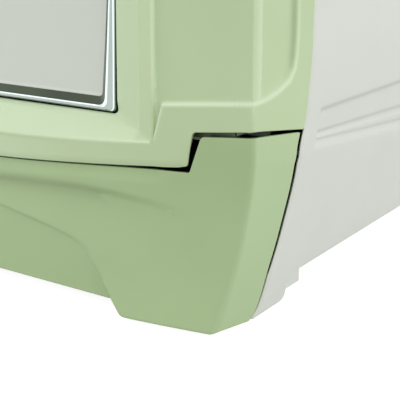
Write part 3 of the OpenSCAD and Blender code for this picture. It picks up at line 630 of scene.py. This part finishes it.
drawer_top = np.concatenate([
    np.stack([tab_xs, under_tab(tab_xs)], -1),
    rounded([[150, under_tab(150)], [160.4, under_tab(160.4)], [168.2, 119.0 - EDGE],
             [185, 120.1 - EDGE], [203, 121.1 - EDGE], [222, 120.7 - EDGE]], [1.6, 1.4, 5, 8]),
    [[seam_s(119.4) - SEAM_GAP - EDGE, 120.2 - EDGE]]])
bottom_s = seam_s(FOOT_Z) - SEAM_GAP - EDGE
drawer_low = np.concatenate([
    [[0, GRIP_Z + EDGE]],
    rounded([[100, GRIP_Z + EDGE], [113.8, GRIP_Z + EDGE], [119.4, 12.4 + EDGE], [129.8, FOOT_Z + 0.6 + EDGE],
             [195, FOOT_Z + EDGE], [bottom_s, 0.4 + EDGE]], [1.2, 1.2, 2.2, 3]),
    [[bottom_s, 0.4 + EDGE]]])
counts = [40, 16, 14, 14, 22, 34, 12, 26]
low_line = spread(drawer_low, [[0, 9.8], [111, 9.8], [121, 12.4], [130.4, 4.4], [148, 4.2], [168, 4],
                               [189, 3.8], [200, 3.2], [bottom_s, 1.2]], counts)
top_line = spread(drawer_top, [[0, 86.2], [108, 93], [121, 94.2], [148, 94.8], [159.6, 94.8], [168.2, 117.9],
                               [198, 120], [208, 120.2], [235.4, 119.4]], counts)
rows = np.concatenate([[0, 0.008, 0.02], np.linspace(0.033, 0.967, 92), [0.98, 0.992, 1]])[:, None, None]
drawer_grid = low_line*(1 - rows) + top_line*rows

# From FOLLOW_S outwards, the columns bend more and more with the curve of the seam.
FOLLOW_S = 204
last = drawer_grid[:, -1:]
towards_seam = np.clip((drawer_grid[..., 0] - FOLLOW_S)/(last[..., 0] - FOLLOW_S), 0, 1)
drawer_grid[..., 0] += towards_seam*(seam_s(last[..., 1]) - SEAM_GAP - EDGE - last[..., 0])
print("drawer front's half grid:", drawer_grid.shape[:2])

# %% The drawer front's relief
DRAWER_SOFT, STEP_DEPTH, TOP_SETBACK = 3.0, 3.6, 2.4
GRIP_BACK, GRIP_LEAN = 10, 0.19
STEP_LINE = [[0, 30, 56, 72, 84, 98, 116, 136, 162], [75.4, 77.2, 78.2, 78.7, 78.6, 78.0, 76.8, 75.0, 71.6]]
arch = np.array([[0, 55], [13, 54.6], [37.6, 50.8], [56, 48.2], [72, 45.0], [79, 43.6], [84.5, 41.8], [88.6, 39.8],
                 [92, 37.4], [95.4, 34.2], [99, 30.6], [104.6, 25.4], [110.6, 19.6], [116.5, 14.2], [119.4, 11.6],
                 [119.4, -8], [0, -8]], float)
arch_outline = np.concatenate([arch[:-1], (arch[1:-1]*[-1, 1])[::-1]])


def drawer_skin(s, z):
    """The toe with its soft step, drawn in to the leaning grip face under the arch. The step drops just below the line
    upper, rises again over the next 36 and fades out towards the side. The top edge falls back under the tab."""
    a = np.abs(s)
    fade = 1 - ease((a - 104)/72)
    upper = np.interp(a, *STEP_LINE)
    step = STEP_DEPTH*ease((upper + 1.6 - z)/7.6)*(1 - ease((upper - 8 - z)/36))*fade
    point = front_skin(s, z, step, DRAWER_SOFT)
    crown = np.interp(a, drawer_top[:, 0], drawer_top[:, 1])
    point[..., 1] += TOP_SETBACK*ease((z - crown + 9)/9)*(1 - ease((a - 132)/20))
    pull = ease((inside_by(arch_outline, s, z) + 1)/3.2)
    grip = FRONT_Y + GRIP_BACK + GRIP_LEAN*(z - GRIP_Z)
    point[..., 1] += pull*np.maximum(grip - point[..., 1], 0)
    return point


half_skin = drawer_skin(drawer_grid[..., 0], drawer_grid[..., 1])
full_skin = np.concatenate([half_skin[:, :0:-1]*[-1, 1, 1], half_skin], 1)

# %% The drawer front's screw bosses, rib and heel, the heel painted as shade behind the seam gap
BOSS_PLACES = ((70.5, -245, 50), (-70.5, -245, 50), (146.2, -234, 66), (-146.2, -234, 66))
BOSS_END_Y, BOSS_R, BOSS_BORE_R = -203.1, 5, 1.85
bosses = [tube((x, y, z), (x, BOSS_END_Y, z), BOSS_R, BOSS_BORE_R, "y") for x, y, z in BOSS_PLACES]
rib = loft([[(x, front_y(x, 113) + 2, 113), (x, -204.6, 113), (x, -204.6, 115.5), (x, front_y(x, 115) + 2, 115.5)]
            for x in np.linspace(169.5, 199, 11)])
# The heel sits behind the seam gap and is painted dark, as painted shade in the gap.
seam_shade_heel = block((186, -213, 1.2), (197.4, -200, 24))
drawer_front = make_piece("drawer_front_moulding", [shell(full_skin, WALL, EDGE), *pair(rib), *pair(seam_shade_heel), *bosses],
                          "drawer", deep_sage_abs, ["drawer_front"])

# %% Painted light and shade on the drawer front
x, y, z = points_of(drawer_front)
a, c = np.abs(x), crease_x(z)
# Painted light makes the side return paler, painted shade darkens the foot of the soft step, and the heels behind the
# gap are painted dark as shade.
on_seam_shade_heel = (y > -213.5)*(a < 197.5)*(z < 24.5)
valley = np.interp(a, [0, 56, 92, 136, 162, 180], [71.4, 74.4, 74.4, 70.4, 66.4, 63.4]) - 0.5
step_painted_shade = bump_at(z - valley, 4.6)*(1 - ease((a - 90)/90))*(y < -238)
return_painted_light = (0.22 + 0.26*ease(z/110))*ease((a - c - 0.2)/1.2)
set_painted_light(drawer_front, np.where(on_seam_shade_heel, -0.7, return_painted_light - 0.16*step_painted_shade))

# %% [markdown]
# ## The white housing
# One wall runs from seam to seam round the back. Beside each seam it stays smooth down to the floor; behind that
# strip, the lower edge is higher and a stepped band is pressed into the side.

# %% The housing's wall, right half
HOUSE_EDGE = 0.7
SKIRT_Z, STRIP_Z, STRIP_BACK = 18.0, 0.3, 91
SEAM_ROLL, SEAM_ROLL_W = 0.9, 3.2
SIDE_END, THIN_WALL = 0.93, 1.1


def rel(y):
    """Distance behind the toe of the front."""
    return y - FRONT_Y


def band_start(z):
    """Where the band begins behind the toe, at each height."""
    return np.interp(z, [0, 19.5, 43, 73, 99, 111, 130, 340], [91, 91, 92.5, 91, 95.5, 99, 104, 104])


def band_share(y, z):
    """1 inside the band, with a smooth step up at its start and down before the rear corner."""
    return ease((rel(y) - band_start(z))/2.6)*(1 - ease((y - (REAR_Y - REAR_R - 16))/10))


def fall(y):
    """How far the creases have fallen: 0 at 100 behind the toe and 1 at 240."""
    return (rel(y) - 100)/140


def band_depth(y, z):
    """Depth of the side's stepped band: a drop under the upper crease, a bead, a groove and a slope back out."""
    far = fall(y)
    second, third, slope = 114.6 - 4.6*far, 110.0 - 10.4*far, 5.0 + 2.4*far
    depth = 2.5*ease((132.6 - z)/5.2)
    depth += 0.9*ease((second + 2.4 - z)/2.4)
    depth -= 1.2*ease((second - z)/2.2)
    depth += 0.9*ease((third + 1.9 - z)/2.1)
    depth -= 3.1*ease((third - 0.2 - z)/slope)
    return depth*band_share(y, z)


def house_point(q, z):
    """Point on the wall: q from 0 to 1 runs along the side to the corner, 1 to 2 round it, 2 to 3 to the middle. Beside
    the seam the wall rolls in, by the square of the nearness to it."""
    side, seam, back = side_x(z), seam_y(z) + GAP/2 + HOUSE_EDGE, back_y(z)
    y = seam + np.clip(q, 0, 1)*(back - REAR_R - seam)
    angle = np.clip(q - 1, 0, 1)*np.pi/2
    x = side - REAR_R + REAR_R*np.cos(angle)
    y = np.where(q > 1, back - REAR_R + REAR_R*np.sin(angle), y)
    x = np.where(q > 2, (side - REAR_R)*(3 - q), x)
    roll = SEAM_ROLL*np.clip(1 - (y - seam)/SEAM_ROLL_W, 0, 1)**2
    return np.stack([x - (band_depth(y, z) + roll)*(q <= 1), y, z + 0*x], -1)


def share_at(back, z):
    """The q of a distance behind the toe, on the side wall at a height."""
    return (FRONT_Y + back - seam_y(z))/(back_y(z) - REAR_R - seam_y(z))


# The lower edge: the strip's foot, a corner up to the skirt, and the skirt, as distances behind the toe and heights.
strip_low, skirt_low = STRIP_Z + HOUSE_EDGE, SKIRT_Z + HOUSE_EDGE
low_path = np.concatenate([
    [[49.5, strip_low]],
    rounded([[52, strip_low], [STRIP_BACK - HOUSE_EDGE, strip_low], [STRIP_BACK + 0.2 - HOUSE_EDGE, skirt_low],
             [160, skirt_low]], [6, 1.5]),
    [[400, skirt_low]]])
counts = [8, 14, 12, 12, 22, 36, 40]
low = spread(low_path, [[49.5, 1], [53.5, 1], [82, 1], [90.2, 9], [90.4, 18.9], [112, 18.9], [200, 18.9], [395, 18.9]],
             counts)
low_share = np.clip(share_at(low[:, 0], low[:, 1]), 0, SIDE_END)
low_share[0] = 0
high_back = np.interp(np.arange(len(low)), np.concatenate([[0], np.cumsum(counts)]),
                      [78, 82, 88, 93, 98, 112, 200, 395])
high_share = np.clip(share_at(high_back, 120.0), 0, SIDE_END)
high_share[0] = 0
far_q = np.concatenate([np.linspace(0.94, 1, 5), np.linspace(1, 2, 17)[1:], np.linspace(2, 3, 25)[1:]])

# %% The housing's grid
base_z = np.concatenate([low[:, 1], np.full(len(far_q), skirt_low)])
top = SPLIT_Z - HOUSE_EDGE
levels = np.concatenate([np.linspace(0, 0.05, 8), np.linspace(0.06, 0.23, 11), np.linspace(0.237, 0.402, 76),
                         np.linspace(0.416, 1, 22)])[:, None]
house_z = base_z*(1 - levels) + top*levels
# The columns swing from their places on the lower edge to those further up within the lowest 0.09 of the height.
turn = 1 - np.clip(1 - levels/0.09, 0, 1)**2
house_q = np.concatenate([low_share*(1 - turn) + high_share*turn, np.tile(far_q, (len(levels), 1))], 1)
half_wall = house_point(house_q, house_z)
wall_skin = np.concatenate([half_wall, half_wall[:, -2::-1]*[-1, 1, 1]], 1)
thickness = THIN_WALL + (WALL - THIN_WALL)*ease((np.abs(wall_skin[..., 1] - seam_y(wall_skin[..., 2])) - 3)/10)
print("housing's grid:", wall_skin.shape[:2])

# %% The housing's hinge ears, ledges, seats, beam, flanges and feet
EAR_OUTLINE = [(251.4, 327), (255, 335), (264.4, 345), (257.5, 347.5), (251.4, 344)]
EAR_X, EAR_W, EAR_R, EAR_BORE_R = 130, 10, 5.5, 2.02
LID_HINGE_Y, LID_HINGE_Z = 259.5, 346.5
ears = []
for middle in (-EAR_X, EAR_X):
    for end in (middle - 25.5, middle + 15.5):
        ears.append(tube((end, LID_HINGE_Y, LID_HINGE_Z), (end + EAR_W, LID_HINGE_Y, LID_HINGE_Z), EAR_R, EAR_BORE_R,
                         "x"))
        ears.append(loft([[(x, y, z) for y, z in EAR_OUTLINE] for x in (end + 0.2, end + EAR_W - 0.2)]))
ledge = block((190.5, -137.6, 18), (199, 207, 21))
foot = block((178, -176, 0.4), (191, -137.6, 21))
seat = block((189, -179, 112), (210.4, -93, 119))
beam = block((-210.4, -179, 112), (210.4, -172, 119))
rear_flange = seam_flange(0.8, 1, 4)
white_shell = shell(wall_skin, thickness, HOUSE_EDGE, core=(0, 0, 180))
housing = make_piece("housing_moulding", [white_shell, *pair(ledge), *pair(seat), beam, *pair(rear_flange), *pair(foot),
                                          *ears], "housing", milk_abs, ["main_body"])

# %% Painted shade in the housing's creases and painted highlights on its beads
x, y, z = points_of(housing)
far = fall(y)
# The creases get painted shade and the beads painted highlights, as light falls on the steps.
lines = 0.5*bump_at(z - 113.2 + 7.6*far, 1.1) + 0.42*bump_at(z - 107.7 + 12.5*far, 2.2)
lines -= 0.5*bump_at(z - 130, 1.9) + 0.5*bump_at(z - 115.9 + 5.8*far, 1.1) + 0.36*bump_at(z - 111 + 11.6*far, 1.1)
on_side = (np.abs(x) > side_x(z) - 7)*band_share(y, z)
foot_painted_light = (np.abs(x) < 191.2)*(z < 21.2)*(y < -137)
# The wall is also painted paler towards the top and on the foot block, as painted light.
set_painted_light(housing, lines*on_side + 0.28*ease((z - 134)/60) + 1.0*foot_painted_light)

# %% [markdown]
# ## The door
# The door is a clear sheet in a polished rim. The rim is one closed ring: a row of loops, each a rounded rectangle
# with its own width, height and depth. Its lower corners flare, so the clear sheet narrows towards the bottom.

# %% The rim's loops
FLARE_TOP_Z, FLARE_DROP, UPPER_R = 215, 75, 4


def door_loop(side, low, high, radius, y, flare):
    """Rounded rectangle at a depth y. Its sides move in below z 215, by flare times the power 1.2 of the drop."""
    low_corner = rounded([[60, low], [side, low], [side, low + 60]], [radius], 11)
    high_corner = rounded([[side, high - 60], [side, high], [60, high]], [UPPER_R], 11)
    half = np.concatenate([[[0, low]], low_corner, high_corner, [[0, high]]])
    knots = [[0, low], [side - radius, low], [side, low + radius], [side, high - UPPER_R], [side - UPPER_R, high],
             [0, high]]
    line = spread(half, knots, [30, 12, 50, 8, 30])
    line = np.concatenate([line, line[-2:0:-1]*[-1, 1]])
    drop = np.maximum(0, FLARE_TOP_Z - line[:, 1])/FLARE_DROP
    x = line[:, 0]*(1 - flare*drop**1.2/side)
    return np.stack([x, np.full(len(x), y), line[:, 1]], -1)


# Each row is a loop's half width, low and high edge, lower radius, depth and flare, once round the rim's section.
rim_rows = [(101.4, 127.1, 326.0, 3.6, -219.4, 1.9), (102.0, 126.5, 326.6, 4.0, -219.9, 1.9),
            (102.0, 126.5, 326.6, 4.0, -224.6, 1.9), (101.8, 126.8, 326.4, 3.9, -226.2, 1.9),
            (101.2, 127.2, 325.8, 3.8, -226.95, 1.8), (99.9, 127.4, 325.2, 3.6, -227.1, 1.6),
            (99.4, 127.5, 324.8, 3.6, -226.7, 1.5), (98.9, 127.6, 324.3, 3.8, -226.8, 1.8),
            (98.4, 129.1, 323.2, 5.0, -226.95, 4.8), (98.0, 129.4, 322.6, 5.6, -227.1, 5.1),
            (97.2, 130.1, 322.0, 6.2, -226.7, 5.6), (97.0, 130.3, 321.6, 6.2, -226.0, 5.6),
            (96.0, 132.6, 319.6, 5.0, -225.4, 6.1), (94.35, 135.5, 317.4, 3.2, -224.6, 6.56),
            (94.35, 135.5, 317.4, 3.2, -219.9, 6.56), (95.0, 135.0, 318.0, 3.6, -219.4, 6.4)]
rim = np.stack([door_loop(*row) for row in rim_rows])
index = np.arange(rim[..., 0].size).reshape(rim.shape[:2])
rim_faces = grid_faces(np.concatenate([index, index[:1]]), True).tolist()
door_rim = make_piece("door_rim_polished", [(rim.reshape(-1, 3), rim_faces)], "door", silvered, ["door_rim"],
                      sharp=35)
for finish in (rim_painted_highlight, rim_painted_shade):
    door_rim.data.materials.append(finish)
# 0 is the silvered back, 1 a painted highlight line and 2 a band of painted shade.
finish_of_row = np.array([0, 0, 0, 0, 1, 2, 0, 0, 1, 1, 2, 2, 2, 2, 2, 2])
door_rim.data.polygons.foreach_set("material_index", np.repeat(finish_of_row, rim.shape[1]))

# %% The clear sheet and the hinge barrel
SHEET_HALF, SHEET_LOW, SHEET_HIGH, SHEET_R, SHEET_FLARE = 97, 134, 317, 8, 7.2
BARREL_HALF, BARREL_R, BARREL_BORE_R = 102, 5.6, 1.7


def sheet_loop(inset, y):
    """One loop of the sheet, an inset away from its outline."""
    return door_loop(SHEET_HALF - inset, SHEET_LOW + inset, SHEET_HIGH - inset, SHEET_R, y, SHEET_FLARE)


# The front is bevelled near the rim and then flat; the back has the bevel alone, mirrored about the hinge's plane.
sheet_rows = [(0.0, -223.6), (0.3, -224.0)] + [(d, -224.2) for d in (0.9, 1.7, 2.5, 3.3, 4.2, 5.4, 8, 13, 20)]
front_rows = [sheet_loop(inset, y) for inset, y in sheet_rows]
back_rows = [sheet_loop(inset, 2*HINGE_Y - y) for inset, y in sheet_rows[2::-1]]
sheet = np.concatenate([np.stack(back_rows), np.stack(front_rows)])
index = np.arange(sheet[..., 0].size).reshape(sheet.shape[:2])
sheet_faces = grid_faces(index, True).tolist() + [index[0][::-1].tolist(), index[-1].tolist()]
door_sheet = make_piece("door_sheet_clear", [(sheet.reshape(-1, 3), sheet_faces)], "door", clear_pane, ["door_panel"])
# A painted highlight line runs across the sheet just above its lower edge.
set_painted_light(door_sheet, 0.75*bump_at(points_of(door_sheet)[2] - 136.6, 1.1))
barrel = tube((-BARREL_HALF, HINGE_Y, HINGE_Z), (BARREL_HALF, HINGE_Y, HINGE_Z), BARREL_R, BARREL_BORE_R, "x")
make_piece("door_hinge_barrel", [barrel], "door", clear_rim)

# %% [markdown]
# ## Pieces that keep the CAD shape
# The lid, the litter pan and the fittings inside have their right shape in the CAD model. Each is copied, its doubles
# are merged, and a small bevel rounds its edges, as the radii of a mould do. Weighted normals keep flats flat.

# %% Copies with rounded edges
DOUBLES_MM = 0.01
FLAT_ANGLE, SHARP_ANGLE, BEVEL_ANGLE = np.radians(0.4), np.radians(40), np.radians(35)


def rounded_copy(name, finish, width):
    """A merged copy of a CAD solid with a bevel of the given width in millimetres on its sharp edges."""
    mesh = nodes[name].data.copy()
    mesh.name = name + "_piece"
    work = bmesh.new()
    work.from_mesh(mesh)
    bmesh.ops.remove_doubles(work, verts=work.verts, dist=DOUBLES_MM*MM)
    bmesh.ops.dissolve_limit(work, angle_limit=FLAT_ANGLE, verts=work.verts, edges=work.edges)
    work.to_mesh(mesh)
    work.free()
    mesh.polygons.foreach_set("use_smooth", np.ones(len(mesh.polygons), bool))
    mesh.set_sharp_from_angle(angle=SHARP_ANGLE)
    mesh.materials.clear()
    mesh.materials.append(finish)
    piece = bpy.data.objects.new(name + "_piece", mesh)
    bpy.context.scene.collection.objects.link(piece)
    bevel = piece.modifiers.new("edges", "BEVEL")
    bevel.width, bevel.segments, bevel.limit_method, bevel.angle_limit = width*MM, 2, "ANGLE", BEVEL_ANGLE
    bevel.miter_outer = "MITER_ARC"
    piece.modifiers.new("flats", "WEIGHTED_NORMAL").keep_sharp = True
    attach(piece, body_of(nodes[name])[0])
    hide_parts(name)


COPIES = [("top_lid", milk_abs, 0.8), ("base_plate", milk_abs, 0.6), ("entry_step", milk_abs, 0.8),
          ("left_runner", milk_abs, 0.4), ("right_runner", milk_abs, 0.4), ("litter_drawer", tray_pp, 1.0),
          ("filter_cover", sage_abs, 0.6), ("carry_handle", sage_abs, 1.2), ("foot_pads", rubber, 0.4),
          ("carbon_filter", charcoal, 1.0), ("runner_screws", steel, 0.3), ("cover_screws", steel, 0.3),
          ("drawer_screws", steel, 0.3), ("hinge_rod", steel, 0.3), ("lid_hinge_pins", steel, 0.3),
          ("handle_pins", steel, 0.3)]
for name, finish, width in COPIES:
    rounded_copy(name, finish, width)
print("pieces that keep the CAD shape:", len(COPIES))

# %% [markdown]
# ## Room, light and camera
# The room is a pale floor under soft studio light: a wide lamp above and one on each side. The floor shows white to
# the camera and keeps the shadow.

# %% Floor
FLOOR_HALF, FLOOR_GLOW = 6.0, 0.9


def seen_rays(tree):
    """The socket that is 1 for rays from the camera and for those that reach it by way of gloss or clear plastic."""
    ray = add(tree, "ShaderNodeLightPath").outputs
    seen = add(tree, "ShaderNodeMath", {0: ray["Is Camera Ray"], 1: ray["Is Glossy Ray"]}, operation="MAXIMUM")
    seen = add(tree, "ShaderNodeMath", {0: seen.outputs[0], 1: ray["Is Transmission Ray"]}, operation="MAXIMUM")
    return seen.outputs[0]


corners = [(x*FLOOR_HALF, y*FLOOR_HALF, 0.0) for x, y in ((-1, -1), (1, -1), (1, 1), (-1, 1))]
mesh = bpy.data.meshes.new("studio_floor")
mesh.from_pydata(corners, [], [(0, 1, 2, 3)])
floor = bpy.data.objects.new("studio_floor", mesh)
bpy.context.scene.collection.objects.link(floor)
paint = bpy.data.materials.new("Studio_floor_matt_white")
paint.use_nodes = True
tree = paint.node_tree
shader = tree.nodes["Principled BSDF"]
shader.inputs["Base Color"].default_value = linear("#CBCBC9")
shader.inputs["Roughness"].default_value = 0.9
lift = add(tree, "ShaderNodeMath", {0: seen_rays(tree), 1: FLOOR_GLOW}, operation="MULTIPLY")
shader.inputs["Emission Color"].default_value = (1, 1, 1, 1)
tree.links.new(lift.outputs[0], shader.inputs["Emission Strength"])
floor.data.materials.append(paint)
print("floor:", 2*FLOOR_HALF, "m wide")

# %% World
world = bpy.data.worlds.new("studio")
bpy.context.scene.world = world
world.use_nodes = True
tree = world.node_tree
background = tree.nodes["Background"]
LIGHT_LEVEL, SEEN_LEVEL = 0.75, 1.0
level = add(tree, "ShaderNodeMapRange", {"Value": seen_rays(tree), "To Min": LIGHT_LEVEL, "To Max": SEEN_LEVEL})
background.inputs["Color"].default_value = (1, 1, 1, 1)
tree.links.new(level.outputs["Result"], background.inputs["Strength"])
print("world light:", LIGHT_LEVEL, "shown at:", SEEN_LEVEL)

# %% Lamps
def turn_towards(thing, direction):
    """Turns a lamp or a camera so that it looks along a direction, with its top side up."""
    thing.rotation_euler = Vector(direction).to_track_quat("-Z", "Y").to_euler()


def lamp(name, place, target, size, watts):
    """A square area lamp that points from its place to a target."""
    data = bpy.data.lights.new(name, "AREA")
    data.size, data.energy = size, watts
    light = bpy.data.objects.new(name, data)
    bpy.context.scene.collection.objects.link(light)
    light.location = place
    turn_towards(light, np.array(target, float) - np.array(place, float))
    print(name, "watts:", watts)


lamp("high_left_lamp", (-1.1, -0.8, 1.6), (0, -0.2, 0.1), 1.0, 6.9)
lamp("left_lamp", (-1.8, -0.9, 0.7), (0, 0, 0.15), 1.4, 4.5)
lamp("right_lamp", (1.9, -0.3, 0.8), (0, 0, 0.15), 1.4, 8.6)

# %% Camera
SENSOR_MM, LENS_MM = 36.0, 85.55
CAMERA_PLACE = (0.48634, -0.70132, 0.250)
azimuth, elevation = np.radians(34.0), np.radians(16.7)
view = bpy.data.cameras.new("view")
view.sensor_width, view.lens = SENSOR_MM, LENS_MM
view.clip_start, view.clip_end = 0.01, 50
camera = bpy.data.objects.new("view", view)
bpy.context.scene.collection.objects.link(camera)
camera.location = CAMERA_PLACE
turn_towards(camera, (-np.sin(azimuth)*np.cos(elevation), np.cos(azimuth)*np.cos(elevation), -np.sin(elevation)))
bpy.context.scene.camera = camera
bpy.context.scene.view_settings.view_transform = "Standard"
print("lens:", LENS_MM, "mm, camera at", CAMERA_PLACE)
